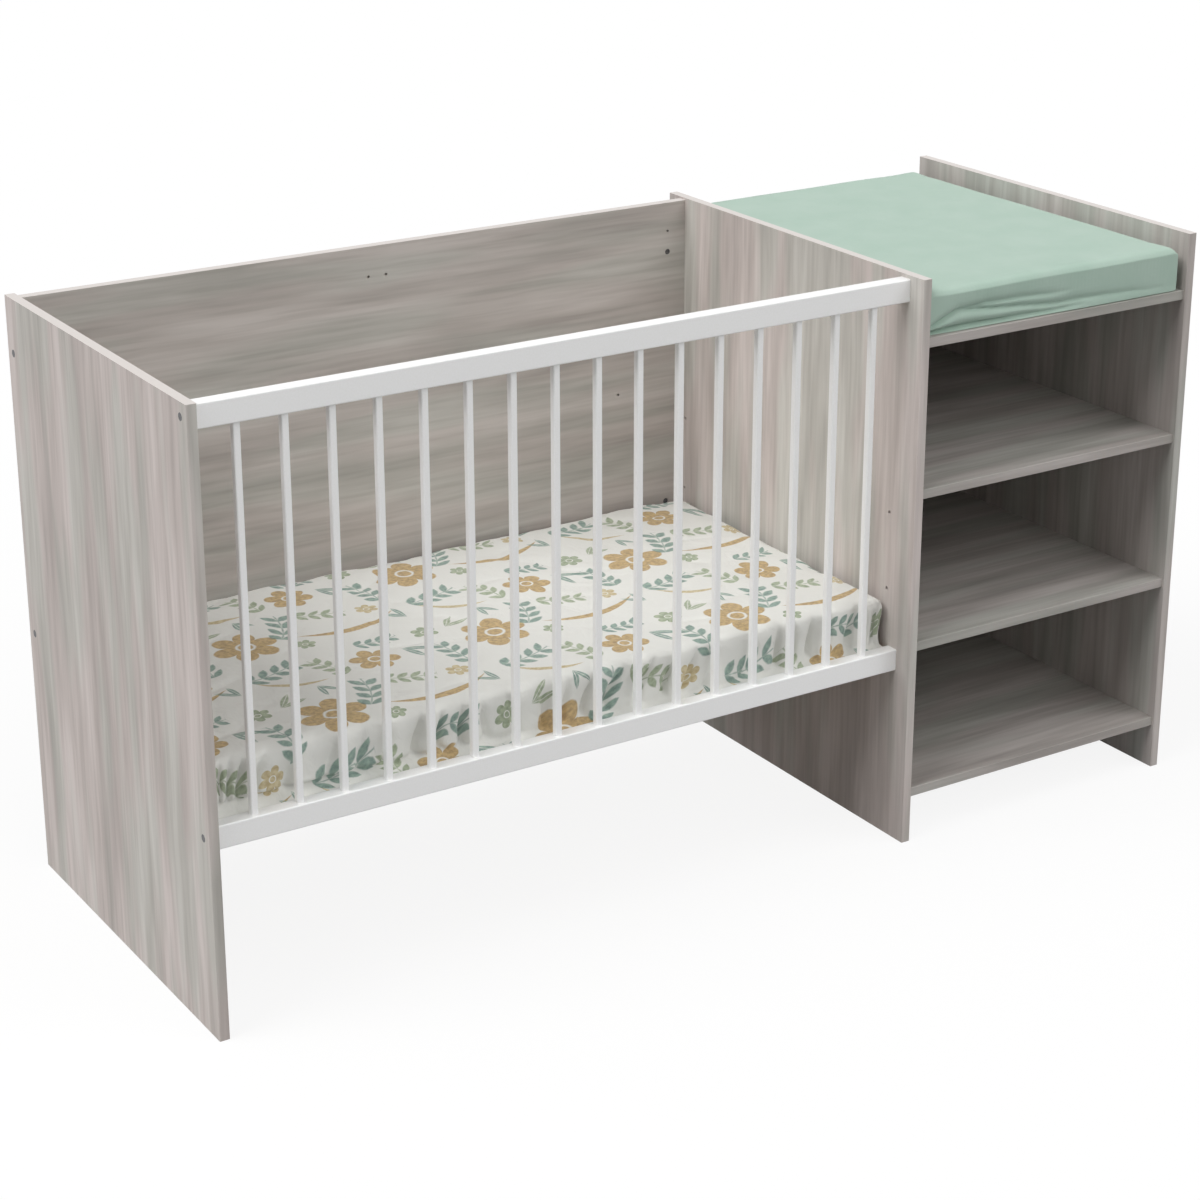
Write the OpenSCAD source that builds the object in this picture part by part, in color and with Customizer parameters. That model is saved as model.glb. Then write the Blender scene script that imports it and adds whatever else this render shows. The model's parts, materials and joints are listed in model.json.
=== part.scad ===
// Cot with a changing unit. The cot's head panel, a shared middle panel and the
// changing unit's end panel stand side by side; a back panel and a barred front
// close the cot, and four boards make the changing unit.
// X runs along the cot, Y from front to back, Z up. The origin is at the centre
// of the footprint, on the floor.

/* [Boards] */
// Thickness of the end panels, the cot's back panel and the shelves
board_t = 16; // [15:1:19]
// Small chamfer on the edged long corners of a board
edge_ease = 0.8; // [0.4:0.1:1.2]

/* [Cot] */
// Clear depth between the front rails and the cot's back panel
cot_width = 603; // [602:1:612]
// Height of the left panel and of the cot's back panel
cot_height = 962; // [940:2:1000]
// How far the back panel's lower edge lies below the bottom rail's upper face
back_panel_drop = 10; // [-20:1:40]
// How far the left panel stands out behind the cot's back panel
back_panel_inset = 13; // [4:1:30]

/* [Barred front] */
// Height of each front rail
rail_h = 37; // [34:1:50]
// Depth of each front rail, front to back
rail_d = 24; // [22:1:30]
// Radius on the long corners of the rails
rail_r = 2.5; // [1:0.5:5]
// Drop of the top rail below the left panel's top
top_rail_drop = 3; // [0:1:10]
// Height of the bottom rail's upper face above the floor
bottom_rail_top = 336; // [320:1:350]
// How far the rails stand behind the left panel's front edge
rail_setback = 8; // [2:1:20]
// Number of bars
bar_count = 16; // [15:1:17]
// Distance from bar to bar
bar_pitch = 72.3; // [60:0.1:76]
// Gap between an end panel and the nearest bar
bar_end_gap = 57.25; // [40:0.25:64]
// Width of a bar, along the rails
bar_w = 11; // [9:0.5:14]
// Depth of a bar, front to back
bar_d = 12; // [9:0.5:14]
// Radius on the corners of a bar
bar_r = 2.5; // [1:0.5:4]
// Depth of the sockets that hold the bars
socket_depth = 14; // [10:1:18]

/* [Changing unit] */
// Clear width between the middle panel and the right panel
unit_width = 542; // [530:1:600]
// Depth of the middle and right panels
unit_depth = 710; // [700:2:760]
// How far the middle and right panels rise above the left panel
unit_rise = 3; // [0:1:20]
// How far the middle panel stands in front of the left panel
unit_overhang = 26; // [10:1:40]
// Height of the side walls above the changing surface
side_wall_h = 97; // [80:1:130]
// Height of the upper shelf's upper face
upper_shelf_z = 617; // [600:1:640]
// Height of the lower shelf's upper face
lower_shelf_z = 355; // [340:1:380]
// Height of the bottom shelf's upper face
bottom_shelf_z = 94; // [80:1:120]
// How far the boards stand behind the panels' front edges
shelf_setback = 5; // [0:1:12]
// Thickness of the hardboard back
hardboard_t = 3; // [2.5:0.5:5]
// Depth of the grooves that hold the hardboard
groove_depth = 5; // [3:0.5:7]
// Distance from the panels' back edges to the hardboard
hardboard_inset = 11; // [6:1:20]

/* [Slatted base] */
// Number of slats
slat_count = 12; // [10:1:14]
// Width of a slat
slat_w = 62; // [50:1:70]
// Thickness of a slat
slat_t = 10; // [8:1:14]
// Height of the base frame's members
base_h = 25; // [22:1:30]
// Width of the two end battens
batten_w = 30; // [25:1:40]
// Width of the two long members
side_member_w = 20; // [18:1:28]
// Gap between the base and the cot's front and back
base_gap = 2; // [1:0.5:4]
// Gap between the base and the end panels
base_end_gap = 0.5; // [0.3:0.1:2]
// Height of the lowest row of peg holes
low_peg_z = 291; // [285:1:296]
// Height of the middle row of peg holes
mid_peg_z = 434; // [420:1:440]
// Height of the upper row of peg holes
high_peg_z = 565; // [550:1:580]
// Distance of the pegs from the ends of the battens
peg_inset = 5; // [4:1:30]
// Diameter of the support pegs
peg_d = 6; // [5:0.5:8]
// Length of a support peg inside its panel
peg_in = 10; // [8:0.5:12]
// Length of a support peg under its batten
peg_out = 14; // [10:1:20]

/* [Mattress] */
// Gap between the mattress and each end panel
mattress_end_gap = 4; // [2:0.5:8]
// Gap between the mattress and the cot's front and back
mattress_side_gap = 3; // [1.5:0.5:6]
// Thickness of the mattress at its edges
mattress_t = 87; // [60:1:120]
// Rise of the crown over the edges
mattress_crown = 8; // [3:1:15]
// Radius of the mattress's corners, seen from above
mattress_r = 34; // [20:1:60]
// How far the long sides pull in at their middle
mattress_draw = 3; // [0:0.5:8]

/* [Changing pad] */
// Depth of the pad in its cover
pad_l = 698; // [670:1:704]
// Thickness of the pad at its edges
pad_t = 71; // [40:1:80]
// Rise of the crown over the edges
pad_crown = 4; // [1:0.5:12]
// Radius of the pad's corners, seen from above
pad_r = 20; // [10:1:50]
// How far the sides pull in at their middle
pad_draw = 2; // [0:0.5:6]
// Gap between the pad and the middle panel
pad_side_gap = 3; // [2:0.5:10]
// Gap between the pad and the right panel
pad_right_gap = 15; // [2:0.5:40]

/* [Hardware] */
// Shank diameter of the connector bolts
bolt_d = 6; // [5:0.5:8]
// Length of the connector bolts under their heads
bolt_l = 56; // [52:1:70]
// Head diameter of the connector bolts
head_d = 12; // [10:0.5:15]
// Head thickness of the connector bolts
head_h = 2.5; // [2:0.5:4]
// Diameter of the barrel nuts
nut_d = 10; // [9:0.5:12]
// Length of the barrel nuts
nut_l = 12; // [10:0.5:13]
// Distance from a joint face to the barrel nut's axis
nut_from_end = 36; // [30:1:42]
// Distance of the back panel's bolts from its upper and lower edges
back_bolt_inset = 88; // [60:1:120]
// Diameter of the cam locks
cam_d = 15; // [12:0.5:18]
// Height of the cam locks
cam_h = 12; // [9:0.5:13]
// Distance from a shelf's end to the cam's axis
cam_from_end = 34; // [24:1:40]
// Diameter of the cam bolts
cam_bolt_d = 6; // [5:0.5:7]
// Diameter of the wooden dowels
dowel_d = 8; // [6:1:8]
// Length of the wooden dowels
dowel_l = 30; // [25:1:35]
// Depth of the dowel and cam bolt holes in a panel
panel_hole = 11; // [9:0.5:12]
// Distance from a board's front or back edge to its cam locks
cam_edge = 60; // [40:1:100]
// Distance from a cam lock to its dowel
cam_to_dowel = 32; // [24:1:64]
// Diameter of the base frame's screws
screw_d = 5; // [4:0.5:6]
// Length of the base frame's screws under their heads
screw_l = 46; // [40:1:60]
// Head diameter of the base frame's screws
screw_head_d = 9; // [8:0.5:11]
// Diameter of the small spare holes
spare_d = 5; // [4:0.5:6]
// Drop of the spare holes below the back panel's top
spare_drop = 51; // [40:1:60]
// Spacing of the two spare holes at the middle
spare_pitch = 32; // [24:1:40]
// Height of the lower spare holes in the back panel
spare_low_z = 630; // [600:1:660]
// Distance of the lower spare holes from the panel's ends
spare_low_inset = 138; // [120:1:160]

/* [Hidden] */
$fn = 32;
// How far a hole's tool runs past the face it opens in
eps = 0.5;
// Overlap that joins a fastener's head to its shank
overlap = 0.01;
// Room past the end of a connector bolt in its bore
bolt_room = 2;
// Room past the end of a dowel, a cam bolt or a screw in its hole
end_room = 1;
// Depth of a barrel nut below the back panel's face
nut_recess = 1;
// Height of the head of a base frame's screw
screw_head_h = 3;
// Clearance around round hardware, on the radius
hole_gap = 0.1;
// Clearance around a bar in its socket, on each side
socket_gap = 0.1;
// Clearance of the hardboard in its grooves, in all
groove_gap = 0.2;
// Depth of the blind spare holes
spare_depth = 8;

// Places along X, from the left panel's outer face; the bars set the cot's length
cot_length = (bar_count - 1) * bar_pitch + bar_w + 2 * bar_end_gap;
middle_x = board_t + cot_length;
unit_x = middle_x + board_t;
right_x = unit_x + unit_width;
total_length = right_x + board_t;

// Places along Y, from the middle panel's front edge
cot_front = unit_overhang;
rail_y = cot_front + rail_setback;
cot_inner_y = rail_y + rail_d;
back_panel_y = cot_inner_y + cot_width;
cot_back = back_panel_y + board_t + back_panel_inset;
cot_depth = cot_back - cot_front;
hardboard_y = unit_depth - hardboard_inset - hardboard_t;
shelf_depth = hardboard_y - shelf_setback;

// Places along Z
unit_height = cot_height + unit_rise;
top_board_z = unit_height - side_wall_h;
top_rail_z = cot_height - top_rail_drop - rail_h;
bottom_rail_z = bottom_rail_top - rail_h;
back_panel_z = bottom_rail_top - back_panel_drop;
back_panel_h = cot_height - back_panel_z;
shelf_tops = [upper_shelf_z, lower_shelf_z, bottom_shelf_z];
board_tops = concat([top_board_z], shelf_tops);
hardboard_z = bottom_shelf_z - board_t;
hardboard_h = top_board_z - board_t - hardboard_z;

// Barred front
rail_mid_y = rail_y + rail_d / 2;
bar_first_x = board_t + bar_end_gap + bar_w / 2;
bar_z = bottom_rail_top - socket_depth;
bar_l = top_rail_z + socket_depth - bar_z;

function bar_x(i) = bar_first_x + (i - 1) * bar_pitch - bar_w / 2;

// Slatted base
base_y = cot_inner_y + base_gap;
base_w = cot_width - 2 * base_gap;
base_x = board_t + base_end_gap;
base_l = cot_length - 2 * base_end_gap;
base_z = low_peg_z + peg_d / 2;
slat_z = base_z + base_h;
slat_pitch = (base_l - slat_w) / (slat_count - 1);
base_top = slat_z + slat_t;
// Distance of the long members from the ends of the battens
member_inset = 2;
member_ys = [base_y + member_inset, base_y + base_w - member_inset - side_member_w];
peg_ys = [base_y + peg_inset, base_y + base_w - peg_inset];
peg_rows = [low_peg_z, mid_peg_z, high_peg_z];

// Hardware: the bolts' lines as [y, z], the two rails first, then the back panel
rail_rows = [0, 1];
back_rows = [2, 3];
bolt_rows = [
    [rail_mid_y, top_rail_z + rail_h / 2],
    [rail_mid_y, bottom_rail_z + rail_h / 2],
    [back_panel_y + board_t / 2, cot_height - back_bolt_inset],
    [back_panel_y + board_t / 2, back_panel_z + back_bolt_inset]
];
// Places along X of the barrel nuts and of the cam locks, one near each end
nut_xs = [board_t + nut_from_end, middle_x - nut_from_end];
cam_xs = [unit_x + cam_from_end, right_x - cam_from_end];
cam_ys = [shelf_setback + cam_edge, hardboard_y - cam_edge];
dowel_ys = [cam_ys[0] + cam_to_dowel, cam_ys[1] - cam_to_dowel];

// Soft pieces: their sizes from the space that holds them
mattress_l = cot_length - 2 * mattress_end_gap;
mattress_w = cot_width - 2 * mattress_side_gap;
pad_w = unit_width - pad_side_gap - pad_right_gap;
// Points on a corner arc and on a long and a short side
arc_n = 5;
long_n = 12;
short_n = 7;
min_ring_r = 1.5;
// Lower and upper edge profiles: [share of the edge radius, share of the thickness]
lower_profile = [[1.1, 0], [0.35, 0.03], [0.08, 0.11], [0, 0.24]];
upper_profile = [[0, 0.76], [0.1, 0.88], [0.4, 0.965], [1, 1]];
// Depth of the sewn channel, and half its height as a multiple of that depth
channel_depth = 1.6;
channel_spread = 2.5;
// Rings in the crown, and the share of the width over which it rises
crown_rings = 4;
crown_reach_share = 0.46;
// Edge radius of the mattress and of the changing pad
mattress_soft = 20;
pad_soft = 13;
// Height of the channel as a share of the edge thickness
mattress_channel_share = 0.5;
pad_channel_share = 0.36;
// Gap between the pad and the front edge of its board
pad_front_gap = 2;

function two_digits(i) = i < 10 ? str("0", i) : str(i);
function bar_name(i) = str("bar_", two_digits(i));
function slat_name(i) = str("base_slat_", two_digits(i));

wood_grey = "#b9b1ab";
lacquer_white = "#f1f0ee";
steel_grey = "#8f8f90";
beech = "#d9bd92";
hardboard_grey = "#a9a39d";
sheet_white = "#e6e5dd";
sage = "#b8ccc0";

// Moves the model from the left front corner to the centre of the footprint
module place() {
    translate([-total_length / 2, -unit_depth / 2, 0]) children();
}

// Rectangle with its four corners chamfered
module eased_rect(a, b, e) {
    polygon([
        [e, 0], [a - e, 0], [a, e], [a, b - e],
        [a - e, b], [e, b], [0, b - e], [0, e]
    ]);
}

// Rectangle with true round corners
module round_rect(a, b, r) {
    translate([r, 0]) square([a - 2 * r, b]);
    translate([0, r]) square([a, b - 2 * r]);
    for (x = [r, a - r]) {
        for (y = [r, b - r]) {
            translate([x, y]) circle(r);
        }
    }
}

// Draws a section in Y and Z along X
module along_x(length) {
    rotate([90, 0, 90]) linear_extrude(length) children();
}

// Cylinder along +X from the given point
module rod_x(d, length, at) {
    translate(at) rotate([0, 90, 0]) cylinder(d = d, h = length);
}

// Cylinder along +Y from the given point
module rod_y(d, length, at) {
    translate(at) rotate([-90, 0, 0]) cylinder(d = d, h = length);
}

// Upright board that stands across the length
module upright(depth, height) {
    linear_extrude(height) eased_rect(board_t, depth, edge_ease);
}

// Clearance hole and head recess of the bolts that come through a panel;
// side is 1 where the head is on the panel's left face, -1 on its right face
module bolt_holes(x, side) {
    for (p = bolt_rows) {
        rod_x(bolt_d + 2 * hole_gap, board_t + 2 * eps, [x - eps, p[0], p[1]]);
        head_x = side > 0 ? x - eps : x + board_t - head_h;
        rod_x(head_d + 2 * hole_gap, head_h + eps, [head_x, p[0], p[1]]);
    }
}

// Three rows of peg holes, drilled from the cot's side of a panel
module peg_holes(x) {
    for (y = peg_ys) {
        for (z = peg_rows) {
            rod_x(peg_d + 2 * hole_gap, peg_in + eps, [x, y, z]);
        }
    }
}

// Holes for the cam bolts and dowels of the four boards
module board_holes(x) {
    for (top = board_tops) {
        z = top - board_t / 2;
        for (y = cam_ys) {
            rod_x(cam_bolt_d + 2 * hole_gap, panel_hole + eps, [x, y, z]);
        }
        for (y = dowel_ys) {
            rod_x(dowel_d + 2 * hole_gap, panel_hole + eps, [x, y, z]);
        }
    }
}

// Groove that holds one edge of the hardboard
module hardboard_groove(x) {
    translate([x, hardboard_y - groove_gap / 2, hardboard_z])
        cube([groove_depth + eps, hardboard_t + groove_gap, hardboard_h]);
}

module left_end_panel() {
    color(wood_grey) place() difference() {
        translate([0, cot_front, 0]) upright(cot_depth, cot_height);
        bolt_holes(0, 1);
        peg_holes(board_t - peg_in);
    }
}

module middle_panel() {
    color(wood_grey) place() difference() {
        translate([middle_x, 0, 0]) upright(unit_depth, unit_height);
        bolt_holes(middle_x, -1);
        peg_holes(middle_x - eps);
        board_holes(unit_x - panel_hole);
        hardboard_groove(unit_x - groove_depth);
    }
}

module right_end_panel() {
    color(wood_grey) place() difference() {
        translate([right_x, 0, 0]) upright(unit_depth, unit_height);
        board_holes(right_x - eps);
        hardboard_groove(right_x - eps);
    }
}

// Bore for a connector bolt in the left end and in the right end of a board or rail
module end_bores(y, z) {
    bore_l = bolt_l - board_t + head_h + bolt_room;
    rod_x(bolt_d + 2 * hole_gap, bore_l + eps, [board_t - eps, y, z]);
    rod_x(bolt_d + 2 * hole_gap, bore_l + eps, [middle_x - bore_l, y, z]);
}

module cot_back_panel() {
    spare_xs = concat(
        nut_xs,
        [for (s = [-1, 1]) board_t + cot_length / 2 + s * spare_pitch / 2]
    );
    low_xs = [board_t + spare_low_inset, middle_x - spare_low_inset];
    color(wood_grey) place() difference() {
        translate([board_t, back_panel_y, back_panel_z])
            along_x(cot_length) eased_rect(board_t, back_panel_h, edge_ease);
        for (i = back_rows) {
            end_bores(bolt_rows[i][0], bolt_rows[i][1]);
            for (x = nut_xs) {
                nut_hole = nut_l + nut_recess + eps;
                rod_y(nut_d + 2 * hole_gap, nut_hole, [x, back_panel_y - eps, bolt_rows[i][1]]);
            }
        }
        for (x = spare_xs) {
            rod_y(spare_d, spare_depth + eps, [x, back_panel_y - eps, cot_height - spare_drop]);
        }
        for (x = low_xs) {
            rod_y(spare_d, spare_depth + eps, [x, back_panel_y - eps, spare_low_z]);
        }
    }
}

// Sockets for all bars, with their mouths at the height z0
module bar_sockets(z0, h) {
    for (i = [1 : bar_count]) {
        translate([bar_x(i) - socket_gap, rail_mid_y - bar_d / 2 - socket_gap, z0])
            linear_extrude(h)
            round_rect(bar_w + 2 * socket_gap, bar_d + 2 * socket_gap, bar_r + socket_gap);
    }
}

// Rail with its bolt bores and barrel nut holes; row is its line in bolt_rows
module rail_blank(z, row) {
    difference() {
        translate([board_t, rail_y, z]) along_x(cot_length) round_rect(rail_d, rail_h, rail_r);
        end_bores(bolt_rows[row][0], bolt_rows[row][1]);
        for (x = nut_xs) {
            nut_y = rail_mid_y - nut_l / 2 - hole_gap;
            rod_y(nut_d + 2 * hole_gap, cot_inner_y - nut_y + eps, [x, nut_y, bolt_rows[row][1]]);
        }
    }
}

module top_rail() {
    color(lacquer_white) place() difference() {
        rail_blank(top_rail_z, rail_rows[0]);
        bar_sockets(top_rail_z - eps, socket_depth + eps);
    }
}

module bottom_rail() {
    color(lacquer_white) place() difference() {
        rail_blank(bottom_rail_z, rail_rows[1]);
        bar_sockets(bar_z, socket_depth + eps);
    }
}

module bar(i) {
    color(lacquer_white) place()
        translate([bar_x(i), rail_mid_y - bar_d / 2, bar_z])
        linear_extrude(bar_l) round_rect(bar_w, bar_d, bar_r);
}

// Board of the changing unit, with its cam pockets and dowel holes
module unit_board(top, depth) {
    z = top - board_t;
    mid_z = top - board_t / 2;
    color(wood_grey) place() difference() {
        translate([unit_x, shelf_setback, z]) along_x(unit_width) eased_rect(depth, board_t, edge_ease);
        for (y = cam_ys) {
            for (x = cam_xs) {
                translate([x, y, z - eps]) cylinder(d = cam_d + 2 * hole_gap, h = cam_h + eps + hole_gap);
            }
            rod_x(cam_bolt_d + 2 * hole_gap, cam_from_end + eps, [unit_x - eps, y, mid_z]);
            rod_x(cam_bolt_d + 2 * hole_gap, cam_from_end + eps, [right_x - cam_from_end, y, mid_z]);
        }
        for (y = dowel_ys) {
            in_board = dowel_l - panel_hole + end_room;
            rod_x(dowel_d + 2 * hole_gap, in_board + eps, [unit_x - eps, y, mid_z]);
            rod_x(dowel_d + 2 * hole_gap, in_board + eps, [right_x - in_board, y, mid_z]);
        }
    }
}

module changer_top_board() {
    unit_board(top_board_z, unit_depth - shelf_setback);
}

module upper_shelf() {
    unit_board(upper_shelf_z, shelf_depth);
}

module lower_shelf() {
    unit_board(lower_shelf_z, shelf_depth);
}

module bottom_shelf() {
    unit_board(bottom_shelf_z, shelf_depth);
}

module changer_back_board() {
    in_groove = groove_depth - groove_gap;
    color(hardboard_grey) place()
        translate([unit_x - in_groove, hardboard_y, hardboard_z])
        cube([unit_width + 2 * in_groove, hardboard_t, hardboard_h]);
}

// Connector bolts, heads flush with the outer faces of the panels
module connector_bolts() {
    color(steel_grey) place() for (p = bolt_rows) {
        rod_x(head_d, head_h, [0, p[0], p[1]]);
        rod_x(bolt_d, bolt_l, [head_h - overlap, p[0], p[1]]);
        rod_x(head_d, head_h, [unit_x - head_h, p[0], p[1]]);
        rod_x(bolt_d, bolt_l, [unit_x - head_h - bolt_l + overlap, p[0], p[1]]);
    }
}

// Barrel nuts, each crossed by its bolt
module barrel_nuts() {
    color(steel_grey) place() for (i = [0 : len(bolt_rows) - 1]) {
        y = i <= rail_rows[1] ? rail_mid_y - nut_l / 2 : back_panel_y + nut_recess;
        for (x = nut_xs) {
            difference() {
                rod_y(nut_d, nut_l, [x, y, bolt_rows[i][1]]);
                rod_x(
                    bolt_d + 2 * hole_gap, nut_d + 2 * eps,
                    [x - nut_d / 2 - eps, bolt_rows[i][0], bolt_rows[i][1]]
                );
            }
        }
    }
}

module shelf_cam_locks() {
    color(steel_grey) place() for (top = board_tops) {
        for (y = cam_ys) {
            for (x = cam_xs) {
                difference() {
                    translate([x, y, top - board_t]) cylinder(d = cam_d, h = cam_h);
                    rod_x(
                        cam_bolt_d + 2 * hole_gap, cam_d + 2 * eps,
                        [x - cam_d / 2 - eps, y, top - board_t / 2]
                    );
                }
            }
        }
    }
}

module shelf_cam_bolts() {
    bolt_length = panel_hole + cam_from_end - end_room;
    color(steel_grey) place() for (top = board_tops) {
        for (y = cam_ys) {
            rod_x(cam_bolt_d, bolt_length, [unit_x - panel_hole, y, top - board_t / 2]);
            rod_x(cam_bolt_d, bolt_length, [right_x + panel_hole - bolt_length, y, top - board_t / 2]);
        }
    }
}

module shelf_dowels() {
    color(beech) place() for (top = board_tops) {
        for (y = dowel_ys) {
            rod_x(dowel_d, dowel_l, [unit_x - panel_hole, y, top - board_t / 2]);
            rod_x(dowel_d, dowel_l, [right_x + panel_hole - dowel_l, y, top - board_t / 2]);
        }
    }
}

// Pegs in the lowest row of holes, under the ends of both battens
module base_support_pegs() {
    color(steel_grey) place() for (y = peg_ys) {
        rod_x(peg_d, peg_in + peg_out, [board_t - peg_in, y, low_peg_z]);
        rod_x(peg_d, peg_in + peg_out, [middle_x - peg_out, y, low_peg_z]);
    }
}

// End batten of the base, drilled for the screws into the long members
module batten(x, head_x) {
    color(beech) place() difference() {
        translate([x, base_y, base_z]) cube([batten_w, base_w, base_h]);
        for (y = member_ys) {
            yc = y + side_member_w / 2;
            rod_x(screw_d + 2 * hole_gap, batten_w + 2 * eps, [x - eps, yc, base_z + base_h / 2]);
            rod_x(screw_head_d + 2 * hole_gap, screw_head_h + eps, [head_x, yc, base_z + base_h / 2]);
        }
    }
}

module base_left_batten() {
    batten(base_x, base_x - eps);
}

module base_right_batten() {
    batten(base_x + base_l - batten_w, base_x + base_l - screw_head_h);
}

module base_member(y) {
    depth = screw_l + screw_head_h - batten_w + end_room;
    yc = y + side_member_w / 2;
    zc = base_z + base_h / 2;
    x0 = base_x + batten_w;
    x1 = base_x + base_l - batten_w;
    color(beech) place() difference() {
        translate([x0, y, base_z]) cube([x1 - x0, side_member_w, base_h]);
        rod_x(screw_d + 2 * hole_gap, depth + eps, [x0 - eps, yc, zc]);
        rod_x(screw_d + 2 * hole_gap, depth + eps, [x1 - depth, yc, zc]);
    }
}

module base_front_member() {
    base_member(member_ys[0]);
}

module base_rear_member() {
    base_member(member_ys[1]);
}

module base_slat(i) {
    color(beech) place()
        translate([base_x + (i - 1) * slat_pitch, base_y, slat_z])
        along_x(slat_w) eased_rect(base_w, slat_t, edge_ease);
}

module base_frame_screws() {
    zc = base_z + base_h / 2;
    color(steel_grey) place() for (y = member_ys) {
        yc = y + side_member_w / 2;
        rod_x(screw_head_d, screw_head_h, [base_x, yc, zc]);
        rod_x(screw_d, screw_l, [base_x + screw_head_h - overlap, yc, zc]);
        rod_x(screw_head_d, screw_head_h, [base_x + base_l - screw_head_h, yc, zc]);
        rod_x(screw_d, screw_l, [base_x + base_l - screw_head_h - screw_l + overlap, yc, zc]);
    }
}

// One ring of a soft piece: a rounded rectangle with half sizes a and b, whose
// sides pull in by draw at their middle, at the height z
function side_run(p, q, n, pull) = [
    for (k = [1 : n - 1])
        p + (q - p) * k / n + pull * sin(180 * k / n)
];
function corner_arc(cx, cy, r, start) = [
    for (k = [0 : arc_n])
        [cx + r * cos(start + 90 * k / arc_n), cy + r * sin(start + 90 * k / arc_n)]
];
function ring_outline(a, b, r, draw) = concat(
    corner_arc(a - r, b - r, r, 0),
    side_run([a - r, b], [r - a, b], long_n, [0, -draw]),
    corner_arc(r - a, b - r, r, 90),
    side_run([-a, b - r], [-a, r - b], short_n, [draw, 0]),
    corner_arc(r - a, r - b, r, 180),
    side_run([r - a, -b], [a - r, -b], long_n, [0, draw]),
    corner_arc(a - r, r - b, r, 270),
    side_run([a, r - b], [a, b - r], short_n, [-draw, 0])
);
function soft_ring(a, b, r, inset, z, draw) = [
    for (p = ring_outline(a - inset, b - inset, max(r - inset, min_ring_r), draw))
        [p[0], p[1], z]
];

// Closed soft form through rings of [inset, height], from its flat underside
// to the top of its crown
module soft_form(a, b, r, rings, draw) {
    per_ring = 4 * (arc_n + 1) + 2 * (long_n - 1) + 2 * (short_n - 1);
    last = len(rings) - 1;
    points = concat(
        [for (g = rings) each soft_ring(a, b, r, g[0], g[1], draw)],
        [[0, 0, rings[0][1]], [0, 0, rings[last][1]]]
    );
    under = per_ring * len(rings);
    faces = concat(
        [for (k = [0 : last - 1]) for (i = [0 : per_ring - 1]) let (j = (i + 1) % per_ring)
            each [
                [k * per_ring + i, (k + 1) * per_ring + i, (k + 1) * per_ring + j],
                [k * per_ring + i, (k + 1) * per_ring + j, k * per_ring + j]
            ]],
        [for (i = [0 : per_ring - 1]) [under, i, (i + 1) % per_ring]],
        [for (i = [0 : per_ring - 1])
            [under + 1, last * per_ring + (i + 1) % per_ring, last * per_ring + i]]
    );
    polyhedron(points, faces);
}

// Rings of a pad that is edge_t thick at its edges: a flat underside, rounded
// lower and upper edges, a sewn channel round the side and a crown that rises
// over reach towards the middle
function pad_rings(edge_t, crown, soft, channel_z, reach) = concat(
    [for (q = lower_profile) [soft * q[0], edge_t * q[1]]],
    [for (k = [-1 : 1]) [channel_depth * (1 - abs(k)), channel_z + k * channel_spread * channel_depth]],
    [for (q = upper_profile) [soft * q[0], edge_t * q[1]]],
    [for (k = [1 : crown_rings])
        [soft + (reach - soft) * k / crown_rings, edge_t + crown * sin(90 * k / crown_rings)]]
);

module mattress() {
    color(sheet_white) place()
        translate([board_t + cot_length / 2, cot_inner_y + cot_width / 2, base_top])
        soft_form(
            mattress_l / 2, mattress_w / 2, mattress_r,
            pad_rings(
                mattress_t, mattress_crown, mattress_soft,
                mattress_t * mattress_channel_share, mattress_w * crown_reach_share
            ),
            mattress_draw
        );
}

module changing_pad() {
    color(sage) place()
        translate([unit_x + pad_side_gap + pad_w / 2, shelf_setback + pad_front_gap + pad_l / 2, top_board_z])
        rotate([0, 0, 90])
        soft_form(
            pad_l / 2, pad_w / 2, pad_r,
            pad_rings(pad_t, pad_crown, pad_soft, pad_t * pad_channel_share, pad_w * crown_reach_share),
            pad_draw
        );
}

left_end_panel();
middle_panel();
right_end_panel();
cot_back_panel();
top_rail();
bottom_rail();
for (i = [1 : bar_count]) bar(i);
changer_top_board();
upper_shelf();
lower_shelf();
bottom_shelf();
changer_back_board();
connector_bolts();
barrel_nuts();
shelf_cam_locks();
shelf_cam_bolts();
shelf_dowels();
base_support_pegs();
base_left_batten();
base_right_batten();
base_front_member();
base_rear_member();
for (i = [1 : slat_count]) base_slat(i);
base_frame_screws();
mattress();
changing_pad();
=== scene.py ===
"""Cot with a changing unit: its looks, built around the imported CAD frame."""

import json
import math

import bpy
import numpy as np
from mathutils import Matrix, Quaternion, Vector, noise


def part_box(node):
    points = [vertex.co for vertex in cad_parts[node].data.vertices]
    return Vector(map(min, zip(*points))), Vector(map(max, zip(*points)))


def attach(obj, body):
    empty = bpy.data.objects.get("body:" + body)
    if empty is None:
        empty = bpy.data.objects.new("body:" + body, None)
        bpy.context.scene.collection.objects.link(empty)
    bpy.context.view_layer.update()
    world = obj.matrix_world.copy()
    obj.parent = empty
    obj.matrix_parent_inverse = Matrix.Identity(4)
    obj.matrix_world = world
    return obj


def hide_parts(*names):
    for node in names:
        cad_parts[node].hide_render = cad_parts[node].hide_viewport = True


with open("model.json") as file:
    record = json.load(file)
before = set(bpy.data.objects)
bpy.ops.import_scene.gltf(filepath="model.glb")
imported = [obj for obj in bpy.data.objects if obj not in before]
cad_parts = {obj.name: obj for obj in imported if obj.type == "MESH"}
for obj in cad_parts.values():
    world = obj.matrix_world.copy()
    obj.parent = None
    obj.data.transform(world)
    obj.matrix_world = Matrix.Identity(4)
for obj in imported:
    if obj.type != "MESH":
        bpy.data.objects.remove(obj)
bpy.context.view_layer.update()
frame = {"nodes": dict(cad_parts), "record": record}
nodes = frame["nodes"]
scene = bpy.context.scene


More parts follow.
